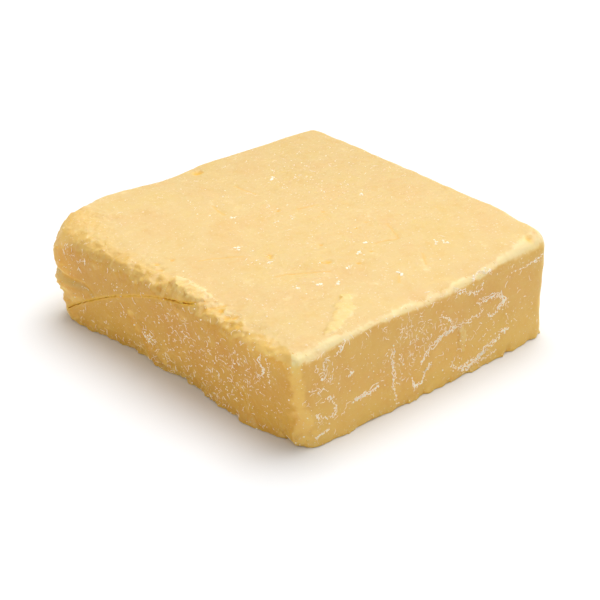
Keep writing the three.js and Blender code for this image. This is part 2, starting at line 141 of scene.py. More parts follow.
# The crack is a parabola on the crumbly side. Its upper lip stands out over the lower one.
CRACK = dict(start=(-46.5, 4.6), bend=(-16, 24.8), end=(14.5, 30.6), opening=1.1, depth=0.75)
LIP, LIP_REACH = 0.6, 7
# The last of these is how wide the painted shade in deep orange lies along the crack's line.
CRACK_POINTS, CRACK_WANDER, CRACK_PAINTED_SHADE = 60, 0.08, 0.58

# The opening's width at shares of the crack's length, how uneven it is, and how far the blade starts outside
CRACK_SHARES, CRACK_WIDTHS, CRACK_UNEVEN, BLADE_TOP = (0, 0.9, 1), (0.4, 1, 0.5), (0.75, 1.2), 0.4

# Ridges, and grooves where the height is below zero: side, places along it, half width and height
RIDGES = [
    ("crumbly", [(-52, 16.6), (-47.2, 16.2), (-43, 15.7), (-36.9, 16.9), (-33, 15)], 0.8, -0.6),
    ("crumbly", [(-52, 13), (-44, 13.2), (-37, 13.8)], 1.6, 0.5),
    ("crumbly", [(-52, 3.2), (-47, 5.6), (-45, 5), (-42.3, 7.7), (-37.4, 11)], 1, -0.5),
    ("crumbly", [(-50, 8.6), (-45, 9), (-41, 11)], 1.3, 0.4),
    ("crumbly", [(-14.5, 14.5), (-10.5, 9.6), (-7.4, 5), (-4, 1.6)], 1.4, -1.3),
    ("crumbly", [(-11.5, 14), (-8, 10.4), (-5.2, 6), (-2.2, 3)], 1.1, 0.8),
    ("crumbly", [(33.5, 10.5), (35.3, 7.7), (37.7, 4.4), (40.1, 1.1)], 0.8, -0.6),
    ("crumbly", [(38, 9), (41.5, 5.5), (44.5, 3.2)], 0.7, -0.4),
    ("rim", [(18, -15.5), (20.5, -13), (22, -11)], 0.9, -0.6),
    ("top", [(-34.6, 4), (-29.8, 4.5), (-25.2, 5.7)], 0.5, -0.3),
    ("top", [(-28, -10.1), (-23.7, -11.1), (-20.9, -11.2)], 0.6, -0.35),
    ("top", [(-8.3, 7.4), (-6.2, 14.1)], 0.45, -0.25),
    ("top", [(20.1, -25.8), (21.1, -22.6), (23.6, -18.9), (28.4, -12.1)], 0.5, -0.35),
    ("top", [(25.7, -21.8), (28.9, -16.6), (29.7, -13.6)], 0.5, 0.3),
    ("top", [(-2.7, -36), (-0.5, -31), (4.2, -24.7)], 0.45, -0.25),
    ("top", [(18.4, 20.8), (23.1, 18.8), (27.5, 16.6), (25.1, 13.1), (24.6, 9.8)], 0.5, -0.35),
    ("top", [(42.9, 1.8), (46, -1.2)], 0.6, -0.3),
    ("top", [(38.8, 15.4), (43.5, 12.1)], 0.6, -0.3),
]
RIDGES += [("rim", [(x, -13.6), (x + 1.6, -10)], 0.5, 0.55) for x in (2.5, 5.2, 7.6, 10.3, 12.8)]

# The front corner's foot is chipped along the plane through these points.
BREAK = [(50.5, -50.2, 5), (57, -49, 1), (53, -47.3, 0)]
BREAK_SIZE = 9

# Pits that crumbs have left: middle and radius
PITS = [
    ((8.9, -18.6, 32.4), 1),
    ((10.4, -19.4, 32.4), 0.7),
    ((-1.6, 12.2, 32.4), 0.7),
    ((-11.4, 2.3, 32.4), 0.8),
    ((13.7, 11.9, 32.4), 0.7),
    ((23.8, -8.7, 32.4), 1.1),
    ((23, -10.2, 32.4), 0.7),
    ((14.5, -3.1, 32.4), 0.7),
    ((12.9, 16.8, 32.4), 0.6),
    ((30.5, -2.6, 32.4), 0.8),
    ((27.8, 5, 32.4), 0.7),
    ((23.3, -48.9, 31), 1),
    ((26.5, -49.2, 31), 1.2),
    ((28.4, -48.2, 31), 1),
    ((29.5, -50.8, 31), 1.2),
    ((31.8, -49.8, 31), 1),
    ((-9.4, -46.4, 32), 1),
    ((-5.9, -48, 32), 1.1),
    ((-8.5, -41.5, 32), 0.8),
    ((-51.5, 2.2, 32), 1.7),
    ((53.5, 46, 35), 1.5),
    ((57.5, -37.9, 0.2), 0.7),
    ((57.5, -28.3, 0.2), 0.7),
    ((57.5, -1.6, 0.2), 0.7),
    ((57, 34, 0.2), 0.7),
]

# A pit's depth, and its reach along each axis, as shares of its radius
PIT_DEPTH, PIT_REACH = 0.65, np.array([1, 1, 3])

# How much painted shade, in deep orange, shows in pits and grooves
PIT_PAINTED_SHADE, GROOVE_PAINTED_SHADE = 0.65, 0.38

# Where the sides are flushed darker, under the thickest crust: ellipsoids, by middle and reach
FLUSHED = [
    ((55, -40, 20), (6, 9, 8)),
    ((55, -6, 20), (6, 12, 7)),
    ((55, 22, 25), (6, 12, 6)),
    ((55, -14, 8), (6, 7, 6)),
    ((28, -51, 18), (14, 6, 9)),
    ((6, -51, 22), (9, 6, 6)),
    ((-42, -51, 22), (12, 6, 6)),
    ((-15, 53, 18), (14, 6, 8)),
    ((24, 53, 12), (14, 6, 7)),
    ((-55, -12, 18), (6, 13, 7)),
    ((-55, 22, 16), (6, 14, 8)),
]

# Painted light, where the crumbly side is brightened: along the rim near the front corner, and at its left
# end
PAINTED_LIGHT_AT = [
    ((45, -52, 28), (14, 4, 3)),
    ((-48, -54, 21), (6, 6, 13)),
]

# Raised lines of white crust: side, half width and places along the line
CRUST = [
    ("smooth", 0.5, [(-39.2, 26.6), (-41.1, 25.2), (-40.9, 22.3), (-42.2, 21)]),
    ("smooth", 0.4, [(-37.2, 22.3), (-38.1, 20.7), (-40, 19.4)]),
    ("smooth", 0.45, [(-32.5, 30), (-33.5, 28.7), (-34.4, 27.3), (-36.1, 26.5)]),
    ("smooth", 0.4, [(-40.8, 18.4), (-43.2, 17.8), (-43.2, 16.5)]),
    ("smooth", 0.5, [(-40.3, 15), (-37.8, 12.9), (-36.6, 10.5), (-37.9, 8.1), (-41.3, 8.4), (-44, 10.4)]),
    ("smooth", 0.5, [(-39.2, 4.8), (-41.1, 4), (-43.2, 4.1), (-43.8, 1.7)]),
    ("smooth", 0.4, [(-30.8, 19.5), (-30.1, 18.3), (-31.9, 18.1)]),
    ("smooth", 0.8, [(-19.6, 11), (-22.3, 10.1), (-23.8, 9.5), (-26.8, 9.5), (-30.1, 9.6)]),
    ("smooth", 0.5, [(-14.1, 21.2), (-14.2, 17.2), (-13.7, 12.7), (-14, 5.8), (-13.1, 3.8), (-13.4, 1.7)]),
    ("smooth", 0.4, [(-6.5, 6.9), (-6.2, 5.2), (-4.8, 3.6), (-4.1, 4.7)]),
    ("smooth", 0.8, [(25.5, 16), (27.3, 15.3), (32.7, 18.3), (29.8, 21.1), (26.9, 21.7), (20.9, 21.2)]),
    ("smooth", 0.6, [(23.2, 19.3), (21.6, 17.7), (15, 17.6), (6.5, 16.6), (0.2, 13.6), (-3.5, 10.3)]),
    ("smooth", 0.5, [(6.3, 22.6), (9.5, 20.1), (11.2, 17.8)]),
    ("smooth", 0.8, [(8.5, 5.4), (12.3, 3.6), (20.6, 3.8), (23.9, 5.6), (28.3, 6.1), (33.9, 8.8)]),
    ("smooth", 0.6, [(12.3, 3), (16.2, 1.6), (19, 2.7), (23.4, 2.4), (28.8, 3.4)]),
    ("smooth", 0.3, [(35.1, 26.7), (38.4, 26.6), (43, 26.7), (47.1, 27), (49.1, 28.1)]),
    ("smooth", 0.5, [(11.4, 27.3), (13.4, 27.9), (16.3, 26.9), (20.1, 25.3), (22.3, 25.9), (23, 27.8)]),
    ("smooth", 0.5, [(18.4, 28.7), (19.9, 30.6), (22.7, 31.3), (26.5, 30.4)]),
    ("smooth", 0.5, [(-6.8, 7.4), (-5.9, 4.5), (-2.2, 4.3), (-1.7, 7.5), (1.4, 9.2)]),
    ("crumbly", 0.4, [(46.2, 27.5), (47.2, 24.5), (46.4, 20.5), (46.8, 17)]),
    ("crumbly", 0.4, [(44, 27), (43.2, 25), (44.8, 22.6), (44, 19.5)]),
    ("crumbly", 0.9, [(-11.5, 10.2), (-8, 10.8), (-4.8, 9.5)]),
    ("back", 0.6, [(-30, 20), (-22, 22), (-12, 18), (-4, 19)]),
    ("back", 0.6, [(18, 9), (24, 12), (33, 10), (38, 14)]),
    ("far", 0.6, [(-20, 12), (-10, 9), (-3, 12), (6, 10)]),
    ("far", 0.5, [(22, 24), (30, 21), (37, 22)]),
]

# A thread of crust: step along it, half width, height for its half width, corners and fewest points
THREAD_STEP, THREAD_HALF, THREAD_HEIGHT, THREAD_CORNERS, THREAD_POINTS = 0.5, 0.12, 1.5, 5, 3

# How uneven a thread is, how thin at its ends, and the widest gap between its points
THREAD_UNEVEN, THREAD_END, WIDEST_GAP = (0.55, 1.4), 0.4, 2.5

# How many threads make up a line's width, how far they and the beads stray in it, and how they crinkle
THREADS_PER_WIDTH, STRAY, CRINKLE = 0.4, 0.6, 0.38
BEAD_STEP, BEAD_RADII, BEAD_FLATNESS = 0.24, (0.12, 0.44), 0.6

# Short strokes of crust: side, middle, reach and how many
STROKES = [
    ("crumbly", (31, 16), (8, 7), 130),
    ("crumbly", (8, 19), (5, 5), 55),
    ("crumbly", (-8, 9), (2.5, 1.5), 25),
    ("crumbly", (-40, 22), (5, 4), 35),
    ("crumbly", (0, 14), (45, 9), 50),
    ("crumbly", (8, 4), (26, 2.5), 60),
    ("crumbly", (-5, 1.2), (30, 1), 50),
    ("smooth", (-5, 20), (7, 5), 110),
    ("smooth", (-42, 12), (4, 9), 50),
    ("smooth", (25, 10), (13, 6), 45),
    ("smooth", (0, 27.5), (40, 1.6), 55),
    ("smooth", (0, 14), (42, 9), 60),
    ("top", (-25, 25), (12, 16), 35),
    ("top", (10, 0), (40, 38), 50),
    ("back", (-15, 17), (9, 6), 80),
    ("back", (22, 12), (13, 6), 80),
    ("far", (-12, 19), (8, 5), 70),
    ("far", (18, 14), (16, 8), 90),
]
STROKE_STEP, STROKE_STEPS, STROKE_HALF, STROKE_BEND = 0.36, 6, (0.045, 0.095), 0.6

# The smears on top lie at this angle to +X, and the strokes there follow them.
SMEARS = math.radians(82)

# White crystals on top, each of some lumps about a place
CRYSTALS = [
    (-31, 16.5), (-17.5, -10.5), (-1, -22.5), (22.5, 7), (30.5, -7), (32, -19.5), (37, 23),
    (12, -21.3), (-2.5, 29), (25.8, 1.4), (35.4, -15.4), (29, -25.5), (42.8, 2.3), (38.5, 25),
]
CRYSTAL_SPREAD, CRYSTAL_RADII, CRYSTAL_LUMPS, CRYSTAL_FLATNESS = 0.5, (0.25, 0.6), 6, 0.6

# Lumps are uneven, longer one way, and a little sunk, each as shares of their radius.
LUMP_UNEVEN, LUMP_WIDTH, SUNK = (0.8, 1.15), (0.6, 1), 0.15

# Fine white specks: side, middle, reach and how many
SPECK_RADII = (0.15, 0.4)
SPECKS = [
    ("crumbly", (15, 15), (30, 9), 420),
    ("smooth", (0, 15), (38, 10), 260),
    ("top", (0, 0), (34, 32), 220),
    ("top", (-22, 25), (14, 12), 110),
    ("back", (0, 15), (38, 10), 260),
    ("far", (0, 15), (36, 10), 260),
]

# Crumbs of cheese, about half sunk: side, middle, reach, how many, least and greatest radius
CRUMB_FLATNESS = 0.7
CRUMBS_AT = [
    ("top", (0, -50.5), (40, 2), 90, (0.2, 0.5)),
    ("crumbly", (5, 1.5), (30, 1), 90, (0.25, 0.55)),
    ("crumbly", (-7, 9.5), (2, 1.5), 40, (0.3, 0.6)),
    ("crumbly", (18, 2.6), (3, 0.8), 30, (0.3, 0.6)),
    ("corner", (0, 12), (7, 8), 50, (0.3, 0.7)),
    ("smooth", (0, 0.6), (40, 0.5), 80, (0.3, 0.6)),
    ("smooth", (0, 30), (40, 1), 60, (0.2, 0.4)),
    ("top", (53.4, -27), (1.2, 4), 12, (0.2, 0.4)),
    ("rim", (9, -12), (4, 1.5), 15, (0.2, 0.4)),
    ("back", (0, 0.8), (40, 0.8), 80, (0.3, 0.7)),
    ("far", (0, 0.8), (40, 0.8), 80, (0.3, 0.7)),
]

# Torn flakes on the surface: side, places along the middle, half widths and thickness
FLAKES = [
    ("top", [(42.5, -18.8), (46, -22), (49.5, -27.5), (52, -32), (53.8, -36)],
     (1, 2.3, 2.7, 2.2, 1.6, 1.5, 1.3, 0.7), 0.55),
    ("rim", [(2.5, -12.6), (8, -12.2), (14, -12.4)], (0.3, 1.2, 1.7, 2, 2.1, 2), 0.7),
    ("smooth", [(14.8, 15.7), (14.3, 12.4), (14.6, 8)], (0.2, 1, 1.5, 1.3, 0.8, 0.3), 0.6),
]
FLAKE_EDGE = 0.35

# How ragged a flake's edge is, and how uneven its face: spacing, height and seed
FLAKE_RAGGED, FLAKE_UNEVEN = (1.2, 1, 8), (1, 0.8, 9)

# Colours, as shares of the red, green and blue light that they give back
# The top's colour, paler than the sides', is painted light from the lamp above.
TOP_PAINTED_LIGHT_COLOUR = (0.76, 0.545, 0.225, 1)
SIDE_COLOUR = (0.81, 0.5, 0.115, 1)
# The side facing -Y is deeper in colour as painted shade.
FRONT_PAINTED_SHADE_COLOUR = (0.755, 0.41, 0.053, 1)
# The edges' colours are painted light: pale on the rim where it looks up, and a golden glow where the edges
# look sideways.
RIM_PAINTED_LIGHT_COLOUR = (1, 0.82, 0.46, 1)
CRUMBLY_RIM_PAINTED_LIGHT_COLOUR = (0.785, 0.5, 0.12, 1)
EDGE_PAINTED_GLOW_COLOUR = (0.97, 0.65, 0.17, 1)
PALE = (0.88, 0.67, 0.26, 1)
# Deep orange is painted shade: in the pits, the grooves and the crack, and at the foot.
PAINTED_SHADE_ORANGE = (0.86, 0.49, 0.05, 1)
WHITE = (1, 0.87, 0.69, 1)
# A painted glow: the crust gives off a little light, so that it stays bright in shade.
CRUST_PAINTED_GLOW = 0.13

# Tints of the cheese's colour, in patches
PINK = (1, 0.95, 0.93, 1)
YELLOW = (1, 0.99, 0.88, 1)
LOW_TINT = (1.04, 1.08, 1.04, 1)
GOLD = (0.98, 0.93, 0.8, 1)
ORANGE = (0.98, 0.87, 0.68, 1)
FAR_TINT = (0.93, 0.92, 0.9, 1)
FLUSH = (0.97, 0.89, 0.86, 1)
# Painted light: the brightening of parts of the crumbly side.
PAINTED_LIGHT_TINT = (1.18, 1.21, 1.2, 1)

# The far side of the top is deeper in colour, this way from the block's middle.
AWAY = (-0.75, 0.66, 0)

# Where colours that go by a distance start and are whole: the lower half, the foot's painted shade and the
# far side
LOW_BAND, FOOT_SHADE_BAND, FAR_BAND = np.array([(17, 4), (1.6, 0), (0, 60)]) * MM

# How much the spots break up the painted light along the edges
EDGE_SPOTS = 1.2

# Light spreads under the cheese's surface: its share, its reach, and each colour's part of that reach.
SOFT_SHARE, SOFT_REACH, SOFT_COLOURS = 0.8, 1.1, (1, 0.82, 0.55)
CHEESE_ROUGHNESS, CRUST_ROUGHNESS, FLOOR_ROUGHNESS = 0.5, 0.6, 0.9

# Random textures, for metres: scale, detail and roughness
PATCHES, SMEARED, SPOTS = (55, 5, 0.6), (330, 5, 0.65), (170, 6, 0.65)
FINE, DOTS, CRUST_PATCHES = (620, 6, 0.62), (1500, 1, 0.5), (260, 4, 0.5)
CELLS_SCALE, SMEARED_SCALE = 560, (4.5, 0.8, 1)

# Bumps in the cheese's shading: height in millimetres, and strength
FINE_BUMP, SMEARED_BUMP, CREASE_BUMP = (0.5, 0.75), (0.4, 0.2), (0.8, 0.4)

# The camera looks at a target from a distance, some degrees round from -Y and up.
VIEW = dict(azimuth=48.6, elevation=28.9, distance=541.84, target=(13.476, -10.578, 16.328))
LENS, SENSOR = 108, 36
SKY, WHITE_LIGHT = 0.525, (1, 1, 1, 1)
LAMP = dict(place=(-250, 640, 2000), size=1900, power=43)
FLOOR_HALF, FLOOR_COLOUR = 3000, (0.855, 0.86, 0.87, 1)

SEED = 29
RANDOM = np.random.default_rng(SEED)


def smoothstep(value, low, high):
    share = np.clip((value - low) / (high - low), 0, 1)
    return share * share * (3 - 2 * share)


def hashed(cells, seed):
    """A random number from 0 to 1 for each row of whole numbers."""
    wave = np.sin(cells @ np.array(HASH_AXES) + seed * HASH_SEED) * HASH_SCALE
    return wave - np.floor(wave)


def noise(points, spacing, height, seed):
    """Smooth random relief, up to a height up or down, with bumps that are the spacing apart."""
    cell = points / spacing
    low = np.floor(cell)
    share = cell - low
    total = np.zeros(len(points))
    for step in itertools.product((0, 1), repeat=3):
        near = np.where(step, share, 1 - share)
        weight = np.prod(near * near * (3 - 2 * near), axis=1)
        total += weight * (2 * hashed(low + step, seed) - 1)
    return height * total


def pebbles(points, spacing, height, seed):
    """Rounded lumps with creases between them, from half the height up to about half of it down."""
    cell = points / spacing
    low = np.floor(cell)
    nearest = np.full(len(points), np.inf)
    for step in itertools.product((-1, 0, 1), repeat=3):
        here = low + step
        middle = here + np.stack([hashed(here, seed + n) for n in range(3)], axis=1)
        nearest = np.minimum(nearest, np.sum((cell - middle) ** 2, axis=1))
    return height * (0.5 - np.sqrt(nearest))


def nearness(points, middle, reach):
    """1 at the middle of an ellipsoid, falling smoothly to 0 outside."""
    return np.exp(-np.sum(((points - middle) / reach) ** 2, axis=1))


def nearness_to_any(points, ellipsoids):
    """The greatest nearness to any of some ellipsoids, each given by its middle and reach."""
    return np.max([nearness(points, *ellipsoid) for ellipsoid in ellipsoids], axis=0)


def crack_point(share):
    """The crack's places on the crumbly side, at shares of its length."""
    start, bend, end = (np.array(CRACK[name]) for name in ("start", "bend", "end"))
    share = np.asarray(share)[..., None]
    return (1 - share) ** 2 * start + 2 * share * (1 - share) * bend + share**2 * end


def lip(points):
    """How far the lip above the crack stands out."""
    share = (points[:, 0] - CRACK["start"][0]) / (CRACK["end"][0] - CRACK["start"][0])
    above = points[:, 2] - crack_point(share)[:, 1]
    here = (share > 0) & (share < 1) & (points[:, 1] < 0) & (above > 0) & (above < LIP_REACH)
    return np.where(here, LIP * (1 - above / LIP_REACH) ** 2 * np.sin(share * math.pi), 0)


def line_distance(places, line):
    """How far places are from a line of straight pieces, and the share of it that comes before there."""
    nearest, share = np.full(len(places), np.inf), np.zeros(len(places))
    for n, (start, end) in enumerate(itertools.pairwise(np.array(line, dtype=float))):
        step = end - start
        part = np.clip((places - start) @ step / (step @ step), 0, 1)
        far = np.linalg.norm(places - start - part[:, None] * step, axis=1)
        share = np.where(far < nearest, (n + part) / (len(line) - 1), share)
        nearest = np.minimum(far, nearest)
    return nearest, share


def line_nearness(places, line, width):
    """1 on a line of straight pieces, falling smoothly to 0 beside it."""
    return np.exp(-(line_distance(places, line)[0] / width) ** 2)


def places_on(side, points, outward):
    """Where points are on a side, and how much they face that way, from 0 to 1."""
    out, across, up = np.array(SIDES[side])
    return np.stack([points @ across, points @ up], axis=1), smoothstep(outward @ out, *FACED)


def flake_cover(points, outward, flake):
    """1 under a torn flake and 0 outside it, with a ragged edge."""
    side, line, half_widths, _ = flake
    places, facing = places_on(side, points, outward)
    far, share = line_distance(places, line)
    half = np.interp(share, np.linspace(0, 1, len(half_widths)), half_widths)
    far += noise(points, *FLAKE_RAGGED)
    return facing * smoothstep(half - far, -FLAKE_EDGE, FLAKE_EDGE)


def relief(points, outward):
    """How far the surface stands out from the smooth body at points, by the directions out of it."""
    crumbly = nearness_to_any(points, CRUMBLY)
    height = noise(points, *WAVES) + noise(points, *DENTS)
    height += crumbly * (noise(points, *LUMPS) + noise(points, *CRUMBS))
    height += crumbly * pebbles(points, *PEBBLES)
    height += noise(points, *GRAIN) + noise(points, *SKIN)
    low = np.clip(1 - points[:, 2] / RAGGED_HEIGHT, 0, 1)
    height += low * noise(points, *RAGGED)
    for middle, reach, rise in SWELLS:
        height += rise * nearness(points, middle, reach)
    for middle, radius in PITS:
        height -= PIT_DEPTH * radius * nearness(points, middle, PIT_REACH * radius)
    for side, line, width, rise in RIDGES:
        places, facing = places_on(side, points, outward)
        height += rise * facing * line_nearness(places, line, width)
    uneven = 1 + noise(points, *FLAKE_UNEVEN)
    for flake in FLAKES:
        thickness = flake[3]
        height += thickness * uneven * flake_cover(points, outward, flake)
    return height + lip(points)


def sag(points):
    """How far the top has sunk at places, going by x and y."""
    return sum(depth * nearness(points[:, :2], middle, reach) for middle, reach, depth in SAGS)


def corner_mix(share, values):
    """A mix of the four corners' values at places given by shares of the width and depth, from -1 to 1."""
    total = np.zeros(len(share))
    for corner, value in zip(CORNERS, values):
        total += (1 + share[:, 0] * corner["x"]) * (1 + share[:, 1] * corner["y"]) * value / 4
    return total


def rounding_at(u, v, w):
    """The rounding of the nearest edges at places given by shares of the width, depth and height."""
    rim = RIM_ROUNDING + (CRUMBLY_RIM_ROUNDING - RIM_ROUNDING) * smoothstep(-v, CRUMBLY_FROM, 1)
    foot = FOOT_ROUNDING
    for corner in CORNERS:
        near = smoothstep(u * corner["x"], CORNER_FROM, 1) * smoothstep(v * corner["y"], CORNER_FROM, 1)
        rim = rim + (corner["rounding"][0] - rim) * near
        foot = foot + (corner["rounding"][1] - foot) * near
    return foot + (rim - foot) * smoothstep(w, *FOOT_TO_RIM)


def station(line, count, half, round_low, round_high, steps_low=RIM_STEPS):
    """The place along one axis of grid lines, of which the outer ones are spread over the edges' rounding."""
    def turn(share):
        return 1 - np.tan((1 - share) * math.pi / 4)

    flat = (line - steps_low) / (count - steps_low - RIM_STEPS)
    place = (round_low - half) + flat * (2 * half - round_low - round_high)
    place = np.where(line < steps_low, -half + round_low * turn(line / steps_low), place)
    last = half - round_high * turn((count - line) / RIM_STEPS)
    return np.where(line > count - RIM_STEPS, last, place)


def body_points(lines):
    """The smooth body at rows of grid lines: a box with its edges rounded and its corners then moved."""
    u, v, w = (2 * lines / LINES - 1).T
    one = np.ones(len(lines))
    points = np.stack([
        station(lines[:, 0], LINES[0], HALF[0], rounding_at(-one, v, w), rounding_at(one, v, w)),
        station(lines[:, 1], LINES[1], HALF[1], rounding_at(u, -one, w), rounding_at(u, one, w)),
        station(lines[:, 2], LINES[2], HALF[2], FOOT_FILLET, rounding_at(u, v, one), FOOT_STEPS),
    ], axis=1)

    share = points / HALF
    side = rounding_at(*share.T)
    round_by = np.stack([side, side, rounding_at(share[:, 0], share[:, 1], one)], axis=1)
    inner = np.clip(points, round_by - HALF, HALF - round_by)
    inner[:, 2] = np.where(points[:, 2] < 0, points[:, 2], inner[:, 2])
    out = points - inner
    reach = np.linalg.norm(out / round_by, axis=1, keepdims=True)
    points = inner + out / np.where(reach > 0, reach, 1)

    tuck = np.clip(1 - (points[:, 2] + HALF[2]) / FOOT_FILLET, 0, 1)
    sideways = out * (1, 1, 0)
    length = np.linalg.norm(sideways, axis=1, keepdims=True)
    sideways = sideways / np.where(length > 0, length, 1)
    points = points + sideways * (FOOT_FILLET * (np.sqrt(1 - tuck**2) - 1))[:, None]

    share = points / HALF
    up = (share[:, 2] + 1) / 2
    moved = points + (0, 0, HALF[2])
    for axis in range(3):
        at_foot = corner_mix(share, [corner["foot"][axis] for corner in CORNERS])
        at_top = corner_mix(share, [corner["top"][axis] for corner in CORNERS])
        moved[:, axis] += at_foot + (at_top - at_foot) * up
    moved[:, 2] *= 1 - sag(moved) / HEIGHT
    return moved


def new_object(name, points, faces):
    """A smooth mesh object, in metres, of points in millimetres."""
    mesh = bpy.data.meshes.new(name)
    mesh.from_pydata((np.asarray(points) * MM).tolist(), [], faces)
    mesh.polygons.foreach_set("use_smooth", [True] * len(mesh.polygons))
    mesh.update()
    obj = bpy.data.objects.new(name, mesh)
    bpy.context.scene.collection.objects.link(obj)
    return obj


def mesh_points(obj):
    points = np.zeros(len(obj.data.vertices) * 3)
    obj.data.vertices.foreach_get("co", points)
    return points.reshape(-1, 3) / MM


def mesh_normals(obj):
    normals = np.zeros(len(obj.data.vertices) * 3)
    obj.data.vertex_normals.foreach_get("vector", normals)
    return normals.reshape(-1, 3)


def smooth_body():
    """The closed body without its relief: a grid over the top and the four sides, and one flat foot."""
    nx, ny, nz = LINES
    top = np.array([(i, j, nz) for i in range(nx + 1) for j in range(ny + 1)])
    faces = []
    for i in range(nx):
        for j in range(ny):
            first = i * (ny + 1) + j
            faces.append((first, first + ny + 1, first + ny + 2, first + 1))
    ring = [(i, 0) for i in range(nx)] + [(nx, j) for j in range(ny)]
    ring += [(i, ny) for i in range(nx, 0, -1)] + [(0, j) for j in range(ny, 0, -1)]
    sides = np.array([(i, j, k) for i, j in ring for k in range(nz + 1)])
    base = len(top)
    for n in range(len(ring)):
        here, there = base + n * (nz + 1), base + (n + 1) % len(ring) * (nz + 1)
        faces += [(here + k, there + k, there + k + 1, here + k + 1) for k in range(nz)]
    faces.append([base + n * (nz + 1) for n in reversed(range(len(ring)))])
    obj = new_object("block", body_points(np.concatenate([top, sides]).astype(float)), faces)
    bm = bmesh.new()
    bm.from_mesh(obj.data)
    bmesh.ops.remove_doubles(bm, verts=bm.verts, dist=SAME_POINT)
    bm.to_mesh(obj.data)
    bm.free()
    return obj


def add_relief(obj):
    """Moves the surface out by its relief, and only sideways in the lower half, so the foot stays flat."""
    points, out = mesh_points(obj), mesh_normals(obj)
    height = relief(points, out)
    low = points[:, 2] < HALF[2]
    out[low, 2] = 0
    out[low] /= np.linalg.norm(out[low], axis=1, keepdims=True)
    points += out * height[:, None]
    points[:, 2] = np.maximum(points[:, 2], 0)
    obj.data.vertices.foreach_set("co", (points * MM).ravel())
    obj.data.update()


def chip():
    """A box to cut away, outside the plane of the break at the front corner's foot."""
    first, second, third = (Vector(point) for point in BREAK)
    out = (second - first).cross(third - first).normalized()
    out = -out if out.z > 0 else out
    corners = np.array(list(itertools.product((-1, 1), (-1, 1), (0, 2)))) * BREAK_SIZE / 2
    turn = np.array(out.to_track_quat("Z", "Y").to_matrix())
    faces = [(0, 1, 3, 2), (4, 6, 7, 5), (0, 4, 5, 1), (2, 3, 7, 6), (0, 2, 6, 4), (1, 5, 7, 3)]
    return new_object("chip", corners @ turn.T + (first + second + third) / 3, faces)


def combine(obj, other, operation="DIFFERENCE"):
    """Cuts another closed mesh away from one, or fuses it to it."""
    modifier = obj.modifiers.new("combine", "BOOLEAN")
    modifier.operation, modifier.solver, modifier.object = operation, "MANIFOLD", other
    graph = bpy.context.evaluated_depsgraph_get()
    mesh = bpy.data.meshes.new_from_object(obj.evaluated_get(graph))
    obj.modifiers.clear()
    obj.data = mesh
    bpy.data.objects.remove(other)
    mesh.set_sharp_from_angle(angle=SHARP)


def surface_of(obj):
    """A mesh's surface, for rays to meet."""
    faces = [tuple(face.vertices) for face in obj.data.polygons]
    return BVHTree.FromPolygons(mesh_points(obj).tolist(), faces)


def surface_at(side, places):
    """The surface's points and outward directions at places on a side, without places off that side."""
    out, across, up = (Vector(axis) for axis in SIDES[side])
    hits = [SURFACE.ray_cast(out * SIGHT + across * place[0] + up * place[1], -out) for place in places]
    hits = [hit for hit in hits if hit[0] is not None and hit[1].dot(out) > FACING]
    return np.array([hit[0] for hit in hits]), np.array([hit[1] for hit in hits])


def swept(points, outward, sections):
    """A closed strip along points of the surface. A section is a ring of distances across it and out."""
    forward = np.gradient(points, axis=0)
    across = np.cross(forward, outward)
    across /= np.linalg.norm(across, axis=1, keepdims=True)
    rings = points[:, None] + across[:, None] * sections[:, :, :1] + outward[:, None] * sections[:, :, 1:]
    corners = sections.shape[1]
    faces = [tuple(range(corners)), tuple(len(points) * corners - 1 - n for n in range(corners))]
    for ring in range(len(points) - 1):
        for n in range(corners):
            here, there = ring * corners + n, ring * corners + (n + 1) % corners
            faces.append((here, here + corners, there + corners, there))
    return rings.reshape(-1, 3), faces


def oval(half_widths, heights, corners):
    """Oval sections for a strip."""
    turn = 2 * math.pi * np.arange(corners) / corners
    return np.stack([np.outer(half_widths, np.cos(turn)), np.outer(heights, np.sin(turn))], axis=2)


def along(line, step):
    """Places about a step apart along a line of straight pieces."""
    line = np.array(line, dtype=float)
    lengths = np.concatenate([[0], np.cumsum(np.linalg.norm(np.diff(line, axis=0), axis=1))])
    at = np.linspace(0, lengths[-1], max(THREAD_POINTS, round(lengths[-1] / step)))
    return np.stack([np.interp(at, lengths, line[:, 0]), np.interp(at, lengths, line[:, 1])], axis=1)


def thread(side, places, half_width):
    """A thin thread of white crust through places on a side, thinner at its ends, or none off the side."""
    points, outward = surface_at(side, places)
    if len(points) < THREAD_POINTS or np.abs(np.diff(points, axis=0)).max() > WIDEST_GAP:
        return []
    size = half_width * RANDOM.uniform(*THREAD_UNEVEN, len(points))
    size[[0, -1]] *= THREAD_END
    return [swept(points, outward, oval(size, THREAD_HEIGHT * size, THREAD_CORNERS))]


def crust(side, half_width, line):
    """A crinkled line of crust: parts of threads near one another, and beads along them."""
    places = along(line, THREAD_STEP)
    parts = []
    for _ in range(round(THREADS_PER_WIDTH * half_width / THREAD_HALF)):
        first = RANDOM.integers(0, max(1, len(places) // 2))
        last = RANDOM.integers(first + THREAD_POINTS, len(places) + THREAD_POINTS)
        crinkled = places[first:last] + RANDOM.normal(0, STRAY * half_width, 2)
        crinkled = crinkled + RANDOM.normal(0, CRINKLE, crinkled.shape)
        parts += thread(side, crinkled, THREAD_HALF)
    beads = along(line, BEAD_STEP / (2 * half_width))
    beads = beads + RANDOM.normal(0, STRAY * half_width, beads.shape)
    return parts + lumps(side, beads, BEAD_RADII, BEAD_FLATNESS, "coarse")


def scattered(middle, reach, count):
    """Random places, thickest at the middle."""
    return RANDOM.normal(middle, reach, (count, 2))


